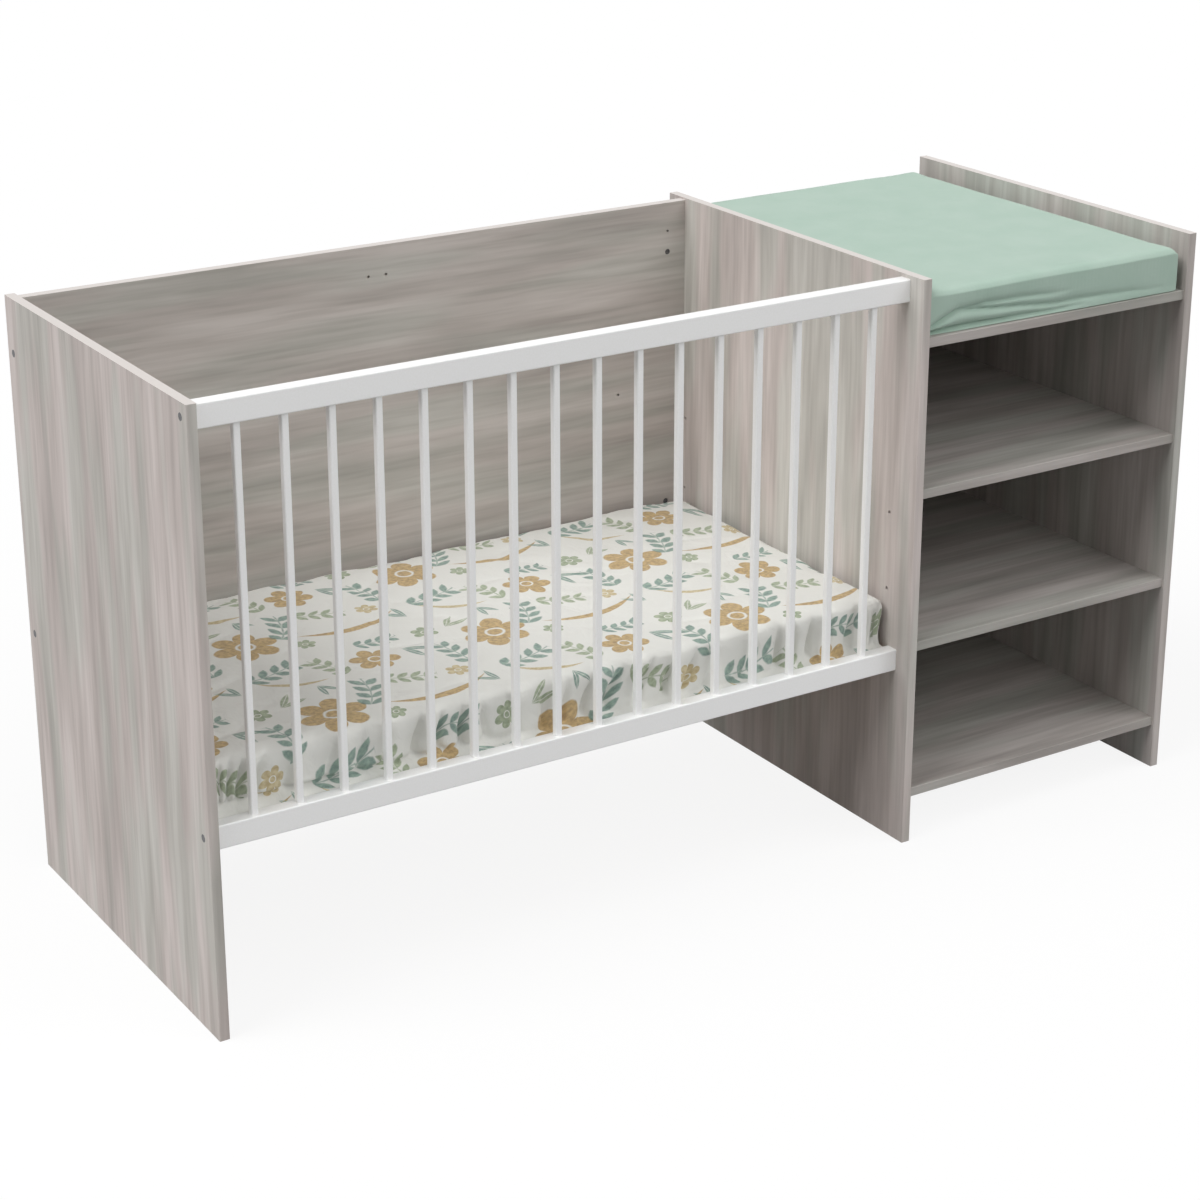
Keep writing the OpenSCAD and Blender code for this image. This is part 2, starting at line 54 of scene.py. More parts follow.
def linear(hex_colour):
    """sRGB hex to linear RGBA."""
    out = []
    for i in (1, 3, 5):
        c = int(hex_colour[i : i + 2], 16) / 255
        out.append(c / 12.92 if c <= 0.04045 else ((c + 0.055) / 1.055) ** 2.4)
    return (*out, 1.0)


def add(tree, kind, inputs=None, stops=None, **settings):
    """Adds one node with its settings, its inputs (values or links) and a ramp's stops."""
    made = tree.nodes.new(kind)
    for key, value in settings.items():
        setattr(made, key, value)
    for key, value in (inputs or {}).items():
        if isinstance(value, bpy.types.NodeSocket):
            tree.links.new(value, made.inputs[key])
        else:
            made.inputs[key].default_value = value
    if stops:
        elements = made.color_ramp.elements
        while len(elements) < len(stops):
            elements.new(1.0)
        for element, (place, colour) in zip(elements, stops):
            element.position = place
            element.color = linear(colour)
    return made


def material(name):
    """An empty material with a Principled shader: (material, tree, shader)."""
    made = bpy.data.materials.new(name)
    made.use_nodes = True
    tree = made.node_tree
    tree.nodes.clear()
    shader = add(tree, "ShaderNodeBsdfPrincipled")
    add(tree, "ShaderNodeOutputMaterial", {0: shader.outputs[0]})
    return made, tree, shader


def wood_figure(tree, place, grain, width_mm, times_as_long, detail):
    """Figure of timber or of its printed copy: streaks width_mm wide, drawn out along the grain."""
    scale = [1000 / width_mm] * 3
    scale[grain] /= times_as_long
    moved = add(tree, "ShaderNodeMapping", {"Vector": place, "Scale": scale}).outputs[0]
    figure = add(tree, "ShaderNodeTexNoise", {"Vector": moved, "Scale": 1.0, "Detail": detail})
    return figure.outputs[0]


# Melamine-faced board with a printed ash decor: cloudy patches of two greys 60 mm
# wide, shaded by bands 38 mm wide and a few hundred long and by fine streaks, which
# all wander a little. Pores, about 0.3 mm wide on a real one, are drawn 1.6 mm wide
# so that they show; they give the satin face a fine tooth.
# Each shading: width in mm, how many times as long, detail, share, its greys
DECOR_SHADINGS = (
    (38, 10, 3.0, 1.0, [(0.30, "#dbdad9"), (0.47, "#eeedec"), (0.64, "#ffffff")]),
    (8, 26, 2.0, 0.8, [(0.30, "#ebeae9"), (0.60, "#ffffff")]),
)
# The wandering is slow: its own waves measure this across and along the grain
WANDER_ACROSS_MM, WANDER_ALONG_MM = 150, 420


# top_highlight, when given, is a painted highlight for the upward faces
def laminate(name, grain, drift_mm, cool, warm, top_highlight=None):
    made, tree, shader = material(name)
    coordinates = add(tree, "ShaderNodeTexCoord")
    place = coordinates.outputs["Object"]
    stretch = [1000 / WANDER_ACROSS_MM] * 3
    stretch[grain] = 1000 / WANDER_ALONG_MM
    slow = add(tree, "ShaderNodeMapping", {"Vector": place, "Scale": stretch}).outputs[0]
    sway = add(tree, "ShaderNodeTexNoise", {"Vector": slow, "Scale": 1.0, "Detail": 1.0})
    centred = add(
        tree,
        "ShaderNodeVectorMath",
        {0: sway.outputs[1], 1: (0.5, 0.5, 0.5)},
        operation="SUBTRACT",
    )
    wander = add(
        tree,
        "ShaderNodeVectorMath",
        {0: centred.outputs[0], "Scale": drift_mm / 1000},
        operation="SCALE",
    )
    place = add(
        tree, "ShaderNodeVectorMath", {0: place, 1: wander.outputs[0]}, operation="ADD"
    ).outputs[0]
    patches = wood_figure(tree, place, grain, width_mm=60, times_as_long=7, detail=1.0)
    greys = add(tree, "ShaderNodeValToRGB", {0: patches}, stops=[(0.40, cool), (0.55, warm)])
    colour = greys.outputs[0]
    for width_mm, times_as_long, detail, share, stops in DECOR_SHADINGS:
        figure = wood_figure(tree, place, grain, width_mm, times_as_long, detail)
        shade = add(tree, "ShaderNodeValToRGB", {0: figure}, stops=stops)
        colour = add(
            tree,
            "ShaderNodeMix",
            {0: share, 6: colour, 7: shade.outputs[0]},
            data_type="RGBA",
            blend_type="MULTIPLY",
        ).outputs[2]
    if top_highlight:
        # painted highlight: upward faces take a paler colour that stands in for the light they
        # catch from above
        facing = add(tree, "ShaderNodeSeparateXYZ", {0: coordinates.outputs["Normal"]})
        highlight_mask = add(
            tree, "ShaderNodeMath", {0: facing.outputs[2], 1: 0.7}, operation="GREATER_THAN"
        )
        colour = add(
            tree,
            "ShaderNodeMix",
            {0: highlight_mask.outputs[0], 6: colour, 7: linear(top_highlight)},
            data_type="RGBA",
        ).outputs[2]
    tree.links.new(colour, shader.inputs["Base Color"])
    shader.inputs["Roughness"].default_value = 0.6
    shader.inputs["Specular IOR Level"].default_value = 0.3
    pores = wood_figure(tree, place, grain, width_mm=1.6, times_as_long=30, detail=2.0)
    bump = add(tree, "ShaderNodeBump", {"Height": pores, "Strength": 0.15, "Distance": 0.0004})
    tree.links.new(bump.outputs[0], shader.inputs["Normal"])
    return made


# Sprayed white lacquer on beech: even and satin, with a faint orange peel 3 mm across.
def lacquer():
    made, tree, shader = material("white_lacquer")
    place = add(tree, "ShaderNodeTexCoord").outputs["Object"]
    peel = add(tree, "ShaderNodeTexNoise", {"Vector": place, "Scale": 1000 / 3, "Detail": 1.0})
    peel = peel.outputs[0]
    colour = add(tree, "ShaderNodeValToRGB", {0: peel}, stops=[(0.3, "#f8f8f7"), (0.7, "#fbfbfb")])
    tree.links.new(colour.outputs[0], shader.inputs["Base Color"])
    shader.inputs["Roughness"].default_value = 0.38
    shader.inputs["Coat Weight"].default_value = 0.6
    shader.inputs["Coat Roughness"].default_value = 0.25
    bump = add(tree, "ShaderNodeBump", {"Height": peel, "Strength": 0.05, "Distance": 0.0003})
    tree.links.new(bump.outputs[0], shader.inputs["Normal"])
    return made


# Plain sawn, pressed or rolled stock: a base and a darker figure along the grain.
def plain_stock(name, grain, light, dark, width_mm, rough, metallic=0.0):
    made, tree, shader = material(name)
    place = add(tree, "ShaderNodeTexCoord").outputs["Object"]
    figure = wood_figure(tree, place, grain, width_mm, times_as_long=16, detail=3.0)
    colour = add(tree, "ShaderNodeValToRGB", {0: figure}, stops=[(0.35, dark), (0.65, light)])
    tree.links.new(colour.outputs[0], shader.inputs["Base Color"])
    shader.inputs["Roughness"].default_value = rough
    shader.inputs["Metallic"].default_value = metallic
    bump = add(tree, "ShaderNodeBump", {"Height": figure, "Strength": 0.1, "Distance": 0.0003})
    tree.links.new(bump.outputs[0], shader.inputs["Normal"])
    return made


# A wave texture goes through WAVE_TURN radians in a unit of its space. Real threads
# stand 0.4 mm apart, too fine to show; the ribs that stand for them are 7.5 mm apart.
WAVE_TURN = 20
RIB_MM = 2 * math.pi * 1.2


def weave(tree, shader, crumple_mm, depth_mm):
    """Faint ribs along X, Y and Z over crumples, on a matt cloth with a little sheen."""
    place = add(tree, "ShaderNodeTexCoord").outputs["Object"]
    crumple = add(
        tree,
        "ShaderNodeTexNoise",
        {"Vector": place, "Scale": 1000 / crumple_mm, "Detail": 3.0, "Distortion": 0.8},
    )
    creased = add(
        tree,
        "ShaderNodeBump",
        {"Height": crumple.outputs[0], "Strength": 0.7, "Distance": depth_mm / 1000},
    )
    ribs = 0.0
    for axis in ("X", "Y", "Z"):
        rib = add(
            tree,
            "ShaderNodeTexWave",
            {"Vector": place, "Scale": 2 * math.pi * 1000 / RIB_MM / WAVE_TURN, "Distortion": 0.4},
            bands_direction=axis,
        )
        ribs = add(tree, "ShaderNodeMath", {0: ribs, 1: rib.outputs[1]}, operation="ADD").outputs[0]
    bump = add(
        tree,
        "ShaderNodeBump",
        {"Height": ribs, "Strength": 0.12, "Distance": 0.0003, "Normal": creased.outputs[0]},
    )
    tree.links.new(bump.outputs[0], shader.inputs["Normal"])
    shader.inputs["Roughness"].default_value = 0.9
    shader.inputs["Sheen Weight"].default_value = 0.15


# Dyed cotton jersey of the pad's cover: flat sage with a slight cloudiness.
def sage_cotton():
    made, tree, shader = material("sage_cotton")
    place = add(tree, "ShaderNodeTexCoord").outputs["Object"]
    cloud = add(tree, "ShaderNodeTexNoise", {"Vector": place, "Scale": 1000 / 60, "Detail": 2.0})
    colour = add(
        tree,
        "ShaderNodeValToRGB",
        {0: cloud.outputs[0]},
        stops=[(0.3, "#a9c1b3"), (0.7, "#afc5b8")],
    )
    tree.links.new(colour.outputs[0], shader.inputs["Base Color"])
    weave(tree, shader, crumple_mm=45, depth_mm=1.5)
    return made


# Printed cotton sheet: off-white, with leaf sprigs, leaf pairs, blossoms and bent
# twigs in sage, teal and ochre. Each step table turns a motif's own x and y, in
# millimetres, into a value that is over 0 inside the motif.
SPRIG = [
    ("bend", "MULTIPLY", "x", "x"), ("bend", "MULTIPLY", "bend", 0.005),
    ("side", "SUBTRACT", "y", "bend"), ("off", "ABSOLUTE", "side", 0),
    ("cell", "DIVIDE", "x", 14), ("cell", "FRACT", "cell", 0), ("run", "MULTIPLY", "cell", 14),
    ("u", "ADD", "run", "off"), ("u", "MULTIPLY", "u", 0.7071),
    ("v", "SUBTRACT", "off", "run"), ("v", "MULTIPLY", "v", 0.7071), ("v", "ABSOLUTE", "v", 0),
    ("t", "SUBTRACT", "u", 9), ("t", "DIVIDE", "t", 9), ("t", "MULTIPLY", "t", "t"),
    ("w", "SUBTRACT", 1, "t"), ("w", "MULTIPLY", "w", 4.0), ("leaf", "SUBTRACT", "w", "v"),
    ("stem", "SUBTRACT", 0.6, "off"), ("in", "MAXIMUM", "leaf", "stem"),
    ("ends", "ABSOLUTE", "x", 0), ("ends", "SUBTRACT", 28, "ends"), ("in", "MINIMUM", "in", "ends"),
]
LEAF_PAIR = [
    ("off", "ABSOLUTE", "y", 0), ("bend", "MULTIPLY", "x", 0.35),
    ("off", "SUBTRACT", "off", "bend"), ("off", "SUBTRACT", "off", 7.5),
    ("off", "ABSOLUTE", "off", 0),
    ("t", "DIVIDE", "x", 21), ("t", "MULTIPLY", "t", "t"), ("w", "SUBTRACT", 1, "t"),
    ("w", "MULTIPLY", "w", 5.5), ("in", "SUBTRACT", "w", "off"),
    ("rib", "SUBTRACT", "off", 0.5), ("in", "MINIMUM", "in", "rib"),
]
BLOSSOM = [
    ("a", "ARCTAN2", "y", "x"), ("a", "MULTIPLY", "a", 3), ("a", "COSINE", "a", 0),
    ("a", "ABSOLUTE", "a", 0), ("a", "POWER", "a", 0.6), ("a", "MULTIPLY", "a", 15),
    ("reach", "ADD", "a", 17),
    ("xx", "MULTIPLY", "x", "x"), ("yy", "MULTIPLY", "y", "y"), ("r", "ADD", "xx", "yy"),
    ("r", "SQRT", "r", 0), ("in", "SUBTRACT", "reach", "r"), ("eye", "SUBTRACT", "r", 8),
    ("eye", "ABSOLUTE", "eye", 0), ("eye", "SUBTRACT", "eye", 1.2), ("in", "MINIMUM", "in", "eye"),
]
TWIG = [
    ("bend", "MULTIPLY", "x", "x"), ("bend", "MULTIPLY", "bend", 0.0042),
    ("side", "SUBTRACT", "y", "bend"), ("off", "ABSOLUTE", "side", 0),
    ("t", "DIVIDE", "x", 78), ("t", "MULTIPLY", "t", "t"), ("w", "SUBTRACT", 1, "t"),
    ("w", "MULTIPLY", "w", 6.5), ("in", "SUBTRACT", "w", "off"),
]
# the print's repeat in mm
REPEAT_W, REPEAT_H = 360, 300
# inks, each washing from its dark to its light tone, and how far they hide the ground
OCHRE = ("#a17e3a", "#c9a760")
TEAL = ("#5b7d74", "#86a596")
SAGE = ("#7d8f6c", "#a9b695")
STRAW = ("#b49c63", "#d3c497")
INK_COVER = 0.82
# motif, centre in the repeat in mm, turn in degrees, size, ink
PLACED = [
    (TWIG, 245, 40, 6, 1.15, OCHRE),
    (TWIG, 60, 190, -24, 0.75, STRAW),
    (BLOSSOM, 66, 62, 10, 1.75, OCHRE),
    (BLOSSOM, 214, 214, 40, 1.25, OCHRE),
    (BLOSSOM, 150, 24, 0, 0.55, SAGE),
    (BLOSSOM, 300, 108, 15, 0.62, STRAW),
    (BLOSSOM, 330, 268, 25, 0.7, SAGE),
    (SPRIG, 150, 108, 72, 1.75, TEAL),
    (SPRIG, 226, 122, -18, 1.45, SAGE),
    (SPRIG, 334, 176, 100, 1.65, TEAL),
    (SPRIG, 58, 246, 16, 1.75, TEAL),
    (SPRIG, 142, 226, 112, 1.45, SAGE),
    (SPRIG, 248, 274, 2, 1.3, TEAL),
    (LEAF_PAIR, 30, 136, 35, 1.1, SAGE),
    (LEAF_PAIR, 286, 212, -48, 1.2, TEAL),
    (LEAF_PAIR, 330, 62, 120, 0.95, TEAL),
    (LEAF_PAIR, 98, 150, -70, 0.9, TEAL),
]


def printed_cotton():
    made, tree, shader = material("printed_cotton")
    cloth = add(tree, "ShaderNodeUVMap", uv_map="cloth").outputs[0]
    in_mm = add(tree, "ShaderNodeVectorMath", {0: cloth, "Scale": 1000}, operation="SCALE")
    flat = add(tree, "ShaderNodeSeparateXYZ", {0: in_mm.outputs[0]})
    # half-drop repeat: each column is shifted by half a repeat from the one before
    column = add(tree, "ShaderNodeMath", {0: flat.outputs[0], 1: REPEAT_W}, operation="DIVIDE")
    column = add(tree, "ShaderNodeMath", {0: column.outputs[0]}, operation="FLOOR")
    drop = add(
        tree,
        "ShaderNodeMath",
        {0: column.outputs[0], 1: REPEAT_H / 2, 2: flat.outputs[1]},
        operation="MULTIPLY_ADD",
    )
    across = add(tree, "ShaderNodeMath", {0: flat.outputs[0], 1: REPEAT_W, 2: 0}, operation="WRAP")
    up = add(tree, "ShaderNodeMath", {0: drop.outputs[0], 1: REPEAT_H, 2: 0}, operation="WRAP")
    cell = add(tree, "ShaderNodeCombineXYZ", {0: across.outputs[0], 1: up.outputs[0]}).outputs[0]
    # a hand-cut outline, ragged by under 1 mm of the motif's own, and an uneven wash of ink
    ragged = add(tree, "ShaderNodeTexNoise", {"Vector": cloth, "Scale": 1000 / 9, "Detail": 2.0})
    ragged = add(
        tree, "ShaderNodeMath", {0: ragged.outputs[0], 1: 5.0, 2: -2.5}, operation="MULTIPLY_ADD"
    )
    wash = add(tree, "ShaderNodeTexNoise", {"Vector": cloth, "Scale": 1000 / 7, "Detail": 4.0})
    wash = add(
        tree,
        "ShaderNodeMapRange",
        {"Value": wash.outputs[0], "From Min": 0.36, "From Max": 0.64},
    )
    colour = linear("#e8e8e3")
    for motif, x0, y0, turn, size, (dark, light) in PLACED:
        own = add(
            tree,
            "ShaderNodeMapping",
            {
                "Vector": cell,
                "Location": (x0, y0, 0),
                "Rotation": (0, 0, math.radians(turn)),
                "Scale": (size, size, 1),
            },
            vector_type="TEXTURE",
        )
        axes = add(tree, "ShaderNodeSeparateXYZ", {0: own.outputs[0]})
        values = {"x": axes.outputs[0], "y": axes.outputs[1]}
        for name, operation, a, b in motif:
            terms = {0: values.get(a, a), 1: values.get(b, b)}
            values[name] = add(tree, "ShaderNodeMath", terms, operation=operation).outputs[0]
        edge = add(
            tree,
            "ShaderNodeMath",
            {0: ragged.outputs[0], 1: 0.35, 2: values["in"]},
            operation="MULTIPLY_ADD",
        )
        inked = add(
            tree,
            "ShaderNodeMapRange",
            {"Value": edge.outputs[0], "From Min": -0.7, "From Max": 0.8, "To Max": INK_COVER},
        )
        ink = add(
            tree,
            "ShaderNodeMix",
            {0: wash.outputs[0], 6: linear(dark), 7: linear(light)},
            data_type="RGBA",
        )
        colour = add(
            tree,
            "ShaderNodeMix",
            {0: inked.outputs[0], 6: colour, 7: ink.outputs[2]},
            data_type="RGBA",
        ).outputs[2]
    tree.links.new(colour, shader.inputs["Base Color"])
    weave(tree, shader, crumple_mm=34, depth_mm=5)
    return made


ALONG_X, ALONG_Y, ALONG_Z = 0, 1, 2
# painted highlight: the paler colour given to the panels' upward faces
PAINTED_TOP_HIGHLIGHT = "#d9d3cf"
# One decor in four copies: those for the right panel, the back and the boards are painted darker
# and greyer than the uprights', as painted shade for faces that stand in shadow
upright_laminate = laminate(
    "grey_ash_laminate_upright", ALONG_Z, 16, "#d2cfc9", "#dad0cc", PAINTED_TOP_HIGHLIGHT
)
right_laminate = laminate(
    "grey_ash_laminate_right", ALONG_Z, 16, "#c4c3bd", "#ccc5c1", PAINTED_TOP_HIGHLIGHT
)
back_laminate = laminate(
    "grey_ash_laminate_back", ALONG_X, 15, "#c3c0ba", "#c7c0bb", PAINTED_TOP_HIGHLIGHT
)
board_laminate = laminate("grey_ash_laminate_boards", ALONG_X, 15, "#b9b8b2", "#beb8b4")
LAMINATED = {
    "left_end_panel": upright_laminate,
    "middle_panel": upright_laminate,
    "right_end_panel": right_laminate,
    "cot_back_panel": back_laminate,
}
SLOT_MATERIALS = {
    "grey_wood_laminate": board_laminate,
    "white_lacquered_wood": lacquer(),
    # pressed hardboard with a grey face: matt, with faint streaks 4 mm wide
    "grey_hardboard": plain_stock("grey_hardboard", ALONG_X, "#b4aea8", "#a29c96", 4, 0.75),
    # zinc-plated steel: dull metal with faint rolling lines 2 mm wide; its grey is painted darker
    # than plain zinc, as painted shade for the sockets in the heads
    "zinc_plated_steel": plain_stock(
        "zinc_plated_steel", ALONG_X, "#727274", "#5c5c5e", 2, 0.42, metallic=1.0
    ),
    # bare planed beech: matt light tan with a straight figure 6 mm wide
    "bare_beech": plain_stock("bare_beech", ALONG_Y, "#dcc197", "#c9a878", 6, 0.6),
}
for part in frame["record"]["subparts"]:
    name = part["node"]
    finish = LAMINATED.get(name) or SLOT_MATERIALS.get(part["material_slot"])
    if finish:
        nodes[name].data.materials.clear()
        nodes[name].data.materials.append(finish)


def smooth(low, high, x):
    """0 at low and 1 at high, with a smooth step between."""
    t = np.clip((x - low) / (high - low), 0, 1)
    return t * t * (3 - 2 * t)


CORNER_STEPS, SIDE_STEPS = 8, 12
SMALLEST_CORNER = 0.004


def outline(half_x, half_y, corner, draw):
    """A rounded rectangle seen from above, whose sides pull in by draw at their middle."""

    def on_corner(quarter, turn):
        sx, sy = ((1, 1), (-1, 1), (-1, -1), (1, -1))[quarter % 4]
        x = sx * (half_x - corner) + corner * math.cos(turn)
        y = sy * (half_y - corner) + corner * math.sin(turn)
        return x, y

    points = []
    for quarter in range(4):
        for k in range(CORNER_STEPS + 1):
            points.append(on_corner(quarter, math.pi / 2 * (quarter + k / CORNER_STEPS)))
        turn = math.pi / 2 * (quarter + 1)
        start, end = Vector(points[-1]), Vector(on_corner(quarter + 1, turn))
        inward = Vector((-math.cos(turn), -math.sin(turn)))
        for k in range(1, SIDE_STEPS):
            pulled = inward * draw * math.sin(math.pi * k / SIDE_STEPS)
            points.append(tuple(start.lerp(end, k / SIDE_STEPS) + pulled))
    return points


def padded_form(name, low, high, corner, draw, profile):
    """A closed form through rings; profile lists (inset, height) from the underside to the top."""
    centre = (low + high) / 2
    half = (high - low) / 2
    points, faces = [], []
    for inset, height in profile:
        radius = max(corner - inset, SMALLEST_CORNER)
        ring = outline(half.x - inset, half.y - inset, radius, draw)
        points += [(centre.x + x, centre.y + y, low.z + height) for x, y in ring]
    count = len(ring)
    for level in range(len(profile) - 1):
        a = level * count
        for i in range(count):
            j = (i + 1) % count
            faces.append((a + i, a + j, a + count + j, a + count + i))
    faces.append(tuple(reversed(range(count))))
    faces.append(tuple(range(len(points) - count, len(points))))
    mesh = bpy.data.meshes.new(name)
    mesh.from_pydata(points, [], faces)
    made = bpy.data.objects.new(name, mesh)
    scene.collection.objects.link(made)
    return made


def read(piece):
    """Places of the piece's points, one row each."""
    flat = np.empty(len(piece.data.vertices) * 3)
    piece.data.vertices.foreach_get("co", flat)
    return flat.reshape(-1, 3)


def write(piece, places):
    piece.data.vertices.foreach_set("co", places.ravel())
    piece.data.update()


def apply(piece, modifier):
    bpy.context.view_layer.objects.active = piece
    bpy.ops.object.modifier_apply(modifier=modifier)


PRESSURE, CLOTH_FRAMES = 4.0, 20
# heights over the underside up to which no point moves, and from which all move freely
HELD_UP_TO, FREE_FROM = 0.003, 0.028


def swell(piece, voxel, cap):
    """Remeshes the piece evenly and fills it by cloth pressure; no point moves by more than cap.

    Its underside, which lies on something, stays as flat as it is."""
    even = piece.modifiers.new("even", "REMESH")
    even.mode = "VOXEL"
    even.voxel_size = voxel
    apply(piece, "even")
    start = read(piece)
    cloth = piece.modifiers.new("fill", "CLOTH")
    cloth.settings.use_pressure = True
    cloth.settings.uniform_pressure_force = PRESSURE
    cloth.settings.effector_weights.gravity = 0.0
    for step in range(1, CLOTH_FRAMES + 1):
        scene.frame_set(step)
    apply(piece, "fill")
    moved = read(piece) - start
    length = np.linalg.norm(moved, axis=1)[:, None]
    free = smooth(HELD_UP_TO, FREE_FROM, start[:, 2:] - start[:, 2].min())
    write(piece, start + moved * free * np.minimum(1.0, cap / np.maximum(length, 1e-9)))
    scene.frame_set(1)
    finer = piece.modifiers.new("finer", "SUBSURF")
    finer.levels = finer.render_levels = 1
    apply(piece, "finer")
    piece.data.polygons.foreach_set("use_smooth", [True] * len(piece.data.polygons))


def field(places, wave, seed):
    """Smooth noise at each place, about -1 to 1; wave is its size along X, Y and Z."""
    shift = np.array((seed * 7.3, seed * 3.1, seed * 5.7))
    return np.array([noise.noise(Vector(p)) for p in places / np.array(wave) + shift]) * 1.6


def outward(places, low, high, reach):
    """Direction away from the piece's middle seen from above, and the closeness to its sides."""
    centre, half = np.array((low + high) / 2), np.array((high - low) / 2)
    across = places[:, :2] - centre[:2]
    near = np.exp(-(half[:2] - np.abs(across)) / reach)
    direction = np.sign(across) * near
    length = np.linalg.norm(direction, axis=1)
    return direction / np.maximum(length, 1e-9)[:, None], np.clip(length, 0, 1)


def cloth_map(piece, places, out, high):
    """Lays the cloth flat in metres: the top as it is, the sides folded out from its edges."""
    flat = places[:, :2] + out * np.maximum(high.z - places[:, 2], 0)[:, None]
    corners = np.empty(len(piece.data.loops), dtype=np.int32)
    piece.data.loops.foreach_get("vertex_index", corners)
    piece.data.uv_layers.new(name="cloth").data.foreach_set("uv", flat[corners].ravel())


def finish_soft(piece, places, low, high, node, cloth):
    """Keeps the piece in its CAD form's box and makes it stand for that node."""
    write(piece, np.clip(places, np.array(low), np.array(high)))
    piece.data.materials.append(cloth)
    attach(piece, node)
    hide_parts(node)


# A soft piece starts this much too wide, as remeshing rounds its corners; what then
# stands out of its box is pressed flat.
WIDE = Vector((0.004, 0.004, 0.0))


# Mattress in a fitted sheet: crowned, creased on top, gathered down its sides in
# sharp folds, and pulled in above its hem towards the left end of its front.
def make_mattress():
    low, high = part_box("mattress")
    piece = padded_form(
        "mattress_in_sheet", low - WIDE, high + WIDE, corner=0.010, draw=0.001,
        profile=[
            (0.0, 0), (0.0, 0.002), (0.0, 0.070), (0.001, 0.079), (0.004, 0.086), (0.011, 0.090),
        ],
    )
    swell(piece, voxel=0.007, cap=0.004)
    p = np.clip(read(piece), np.array(low), np.array(high))
    rise = p[:, 2] - low.z
    height = rise / (high.z - low.z)
    reach = 0.016
    out, side = outward(p, low, high, reach)
    centre, half = np.array((low + high) / 2), np.array((high - low) / 2)
    across = (p[:, :2] - centre[:2]) / half[:2]
    crown = (1 - across[:, 0] ** 14) * (1 - across[:, 1] ** 8)
    upper = smooth(0.55, 0.9, height)
    front = side * np.clip(-out[:, 1], 0, 1)
    left = 1 - smooth(-0.80, -0.25, p[:, 0])
    # folds: each has its own depth, a sharp valley and rounded shoulders
    pitch, fold_depth, pull_in = 0.045, 0.026, 0.026
    along = p[:, 0] * np.abs(out[:, 1]) + p[:, 1] * np.abs(out[:, 0])
    turn = along / pitch + 0.8 * field(p, (0.17, 0.17, 0.16), 1)
    number = np.round(turn)
    away = np.abs(turn - number) * pitch
    depth = 0.35 + 0.65 * np.abs(np.sin(number * 12.9898)) ** 1.5
    valley = 0.55 * np.exp(-(away / 0.0055) ** 2) + 0.45 * np.exp(-away / 0.012)
    inward = side * fold_depth * depth * valley * (1 - 0.85 * smooth(0.40, 1.0, height))
    # the front is calmer in its last few centimetres at the right
    inward *= 1 - 0.6 * front * smooth(0.28, 0.31, p[:, 0])
    # the lower sides tuck in a little, and are uneven
    inward += side * 0.005 * (1 - smooth(0.15, 0.8, height))
    inward += side * 0.003 * (0.5 + 0.5 * field(p, (0.085, 0.085, 0.3), 2))
    low_band = smooth(0.02, 0.08, height) * (1 - smooth(0.12, 0.26, height))
    inward += pull_in * front * left * low_band
    # the folds run out towards the hem, which stays out over the slats
    hem_limit = np.interp(rise, [0.0, 0.004, 0.010, 0.024], [0.0, 0.002, 0.013, 0.030])
    inward = np.minimum(inward, hem_limit)
    hem = smooth(0.40, 0.75, side) * (1 - smooth(0.003, 0.009, rise))
    # what a point lacks to the box's side, less 0.5 mm
    short = np.maximum(-reach * np.log(np.maximum(side, 0.1)) - 0.0005, 0)
    p[:, :2] += out * (hem * short - inward)[:, None]
    slack = field(p, (0.15, 0.07, 0.5), 3) + 0.6 * field(p, (0.06, 0.10, 0.5), 5)
    creases = np.exp(-(field(p, (0.13, 0.09, 0.5), 11) / 0.2) ** 2)
    crowned, slackness, sunk = 0.0025, 0.0022, 0.001
    p[:, 2] += upper * (crowned * crown + slackness * slack - slackness * creases - sunk)
    rim = upper * (1 - crown) * (1 - side)
    p[:, 2] += rim * 0.003 * field(p, (0.035, 0.035, 0.5), 7)
    finish_soft(piece, p, low, high, "mattress", printed_cotton())
    cloth_map(piece, p, out, high)


# Changing pad in a fitted cover: flat top, sides upright under a firm edge, and
# slack that fans out from the lower left corner of its front.
PAD_CREASES = (
    # along the front in m, height in m, depth in m
    (
        [0.0, 0.03, 0.06, 0.27, 0.50],
        [0.010, 0.022, 0.033, 0.017, 0.011],
        [0.016, 0.016, 0.013, 0.009, 0.0005],
    ),
    ([0.0, 0.08, 0.20, 0.35], [0.004, 0.006, 0.007, 0.006], [0.020, 0.018, 0.012, 0.0]),
    ([0.05, 0.12, 0.22, 0.30], [0.031, 0.038, 0.037, 0.034], [0.013, 0.010, 0.006, 0.0]),
)
CREASE_WIDTH = 0.0045


def make_pad():
    low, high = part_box("changing_pad")
    piece = padded_form(
        "pad_in_cover", low - WIDE, high + WIDE, corner=0.006, draw=0.0,
        profile=[(0.005, 0), (0.0, 0.003), (0.0, 0.062), (0.004, 0.068), (0.010, 0.0735)],
    )
    swell(piece, voxel=0.005, cap=0.002)
    p = np.clip(read(piece), np.array(low), np.array(high))
    along, rise = p[:, 0] - low.x, p[:, 2] - low.z
    out, side = outward(p, low, high, 0.010)
    front = side * np.clip(-out[:, 1], 0, 1)
    wander = 0.002 * field(p, (0.07, 0.5, 0.5), 4)
    crease = np.zeros(len(p))
    for places, heights, depths in PAD_CREASES:
        off = np.abs(rise - np.interp(along, places, heights) - wander)
        depth = np.interp(along, places, depths, left=0.0)
        crease = np.maximum(crease, depth * np.exp(-off / CREASE_WIDTH))
    p[:, 1] += front * crease
    p[:, :2] -= out * (side * 0.001 * (0.5 + 0.5 * field(p, (0.09, 0.09, 0.12), 8)))[:, None]
    upper = smooth(0.6, 0.95, rise / (high.z - low.z))
    p[:, 2] += upper * (0.001 * field(p, (0.16, 0.16, 0.5), 6) - 0.0006)
    finish_soft(piece, p, low, high, "changing_pad", sage_cotton())


make_mattress()
make_pad()


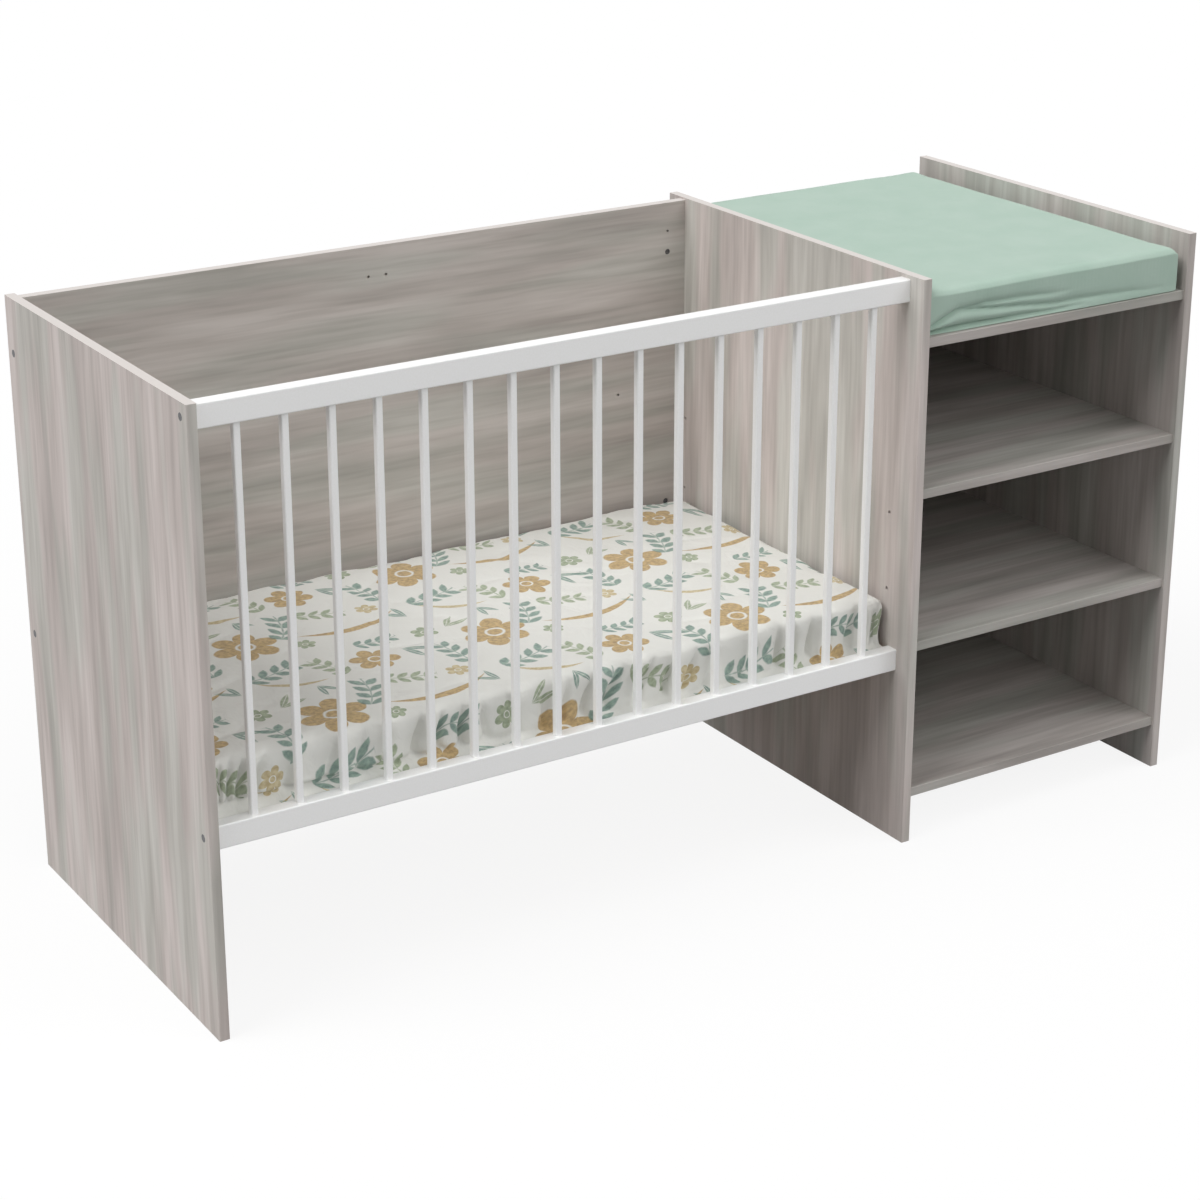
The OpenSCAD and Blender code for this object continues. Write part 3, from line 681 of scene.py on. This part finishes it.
def looked_at(tree):
    """1 for a ray of the camera, a glossy face or glass, 0 for light."""
    path = add(tree, "ShaderNodeLightPath")
    seen = path.outputs["Is Camera Ray"]
    for ray in ("Is Glossy Ray", "Is Transmission Ray"):
        both = {0: seen, 1: path.outputs[ray]}
        seen = add(tree, "ShaderNodeMath", both, operation="MAXIMUM").outputs[0]
    return seen


FLOOR_REACH = 20.0
# what light finds of the floor, and what is seen of it
FLOOR_GREY, FLOOR_SEEN = "#969696", "#fafafa"
# the share of the seen floor that is plain white; the rest takes light and shadow
FLOOR_WHITE = 0.88


def plain_floor():
    """Pale floor, seen nearly white with a faint shadow, that throws little light up."""
    mesh = bpy.data.meshes.new("floor")
    signs = ((-1, -1), (1, -1), (1, 1), (-1, 1))
    corners = [(x * FLOOR_REACH, y * FLOOR_REACH, 0) for x, y in signs]
    mesh.from_pydata(corners, [], [(0, 1, 2, 3)])
    floor = bpy.data.objects.new("floor", mesh)
    scene.collection.objects.link(floor)
    made = bpy.data.materials.new("pale_floor")
    made.use_nodes = True
    tree = made.node_tree
    tree.nodes.clear()
    seen = looked_at(tree)
    pale = add(
        tree,
        "ShaderNodeMix",
        {0: seen, 6: linear(FLOOR_GREY), 7: linear(FLOOR_SEEN)},
        data_type="RGBA",
    )
    matt = add(tree, "ShaderNodeBsdfDiffuse", {0: pale.outputs[2]})
    white = add(tree, "ShaderNodeEmission", {0: (1, 1, 1, 1), 1: 1.0})
    share = add(tree, "ShaderNodeMath", {0: seen, 1: FLOOR_WHITE}, operation="MULTIPLY")
    mixed = add(
        tree,
        "ShaderNodeMixShader",
        {0: share.outputs[0], 1: matt.outputs[0], 2: white.outputs[0]},
    )
    add(tree, "ShaderNodeOutputMaterial", {0: mixed.outputs[0]})
    mesh.materials.append(made)


# Large soft boxes, as far off as suns: energy, width in degrees, direction to the lamp
LAMPS = {
    "key_upper_left": (1.82, 40, (-0.643, 0.0, 0.766)),
    "fill_right_front": (0.81, 40, (0.5, -0.5, 0.707)),
    "fill_front": (0.61, 35, (0.0, -0.866, 0.5)),
    "rim_left_rear": (0.41, 40, (-0.628, 0.439, 0.643)),
}
AMBIENT = 0.25


def studio_light():
    """White room, seen at strength 1, that lights the object at AMBIENT, and the lamps."""
    world = bpy.data.worlds.new("studio")
    scene.world = world
    world.use_nodes = True
    tree = world.node_tree
    tree.nodes.clear()
    strength = add(
        tree,
        "ShaderNodeMapRange",
        {"Value": looked_at(tree), "To Min": AMBIENT, "To Max": 1.0},
    )
    sky = add(tree, "ShaderNodeBackground", {0: (1, 1, 1, 1), 1: strength.outputs[0]})
    add(tree, "ShaderNodeOutputWorld", {0: sky.outputs[0]})
    for name, (energy, width, direction) in LAMPS.items():
        lamp = bpy.data.lights.new(name, "SUN")
        lamp.energy = energy
        lamp.angle = math.radians(width)
        made = bpy.data.objects.new(name, lamp)
        made.rotation_mode = "QUATERNION"
        made.rotation_quaternion = Vector(direction).to_track_quat("Z", "Y")
        scene.collection.objects.link(made)


def photo_camera():
    """Camera at the photograph's viewing angle."""
    data = bpy.data.cameras.new("camera")
    data.sensor_width = 36.0
    data.lens = 81.564
    data.shift_x, data.shift_y = -0.01716, -0.07132
    camera = bpy.data.objects.new("camera", data)
    camera.location = (-2.27425, -3.52986, 2.03994)
    camera.rotation_mode = "QUATERNION"
    camera.rotation_quaternion = Quaternion((0.784709, 0.552169, -0.162872, -0.229812))
    scene.collection.objects.link(camera)
    scene.camera = camera


plain_floor()
studio_light()
photo_camera()
scene.view_settings.view_transform = "Standard"
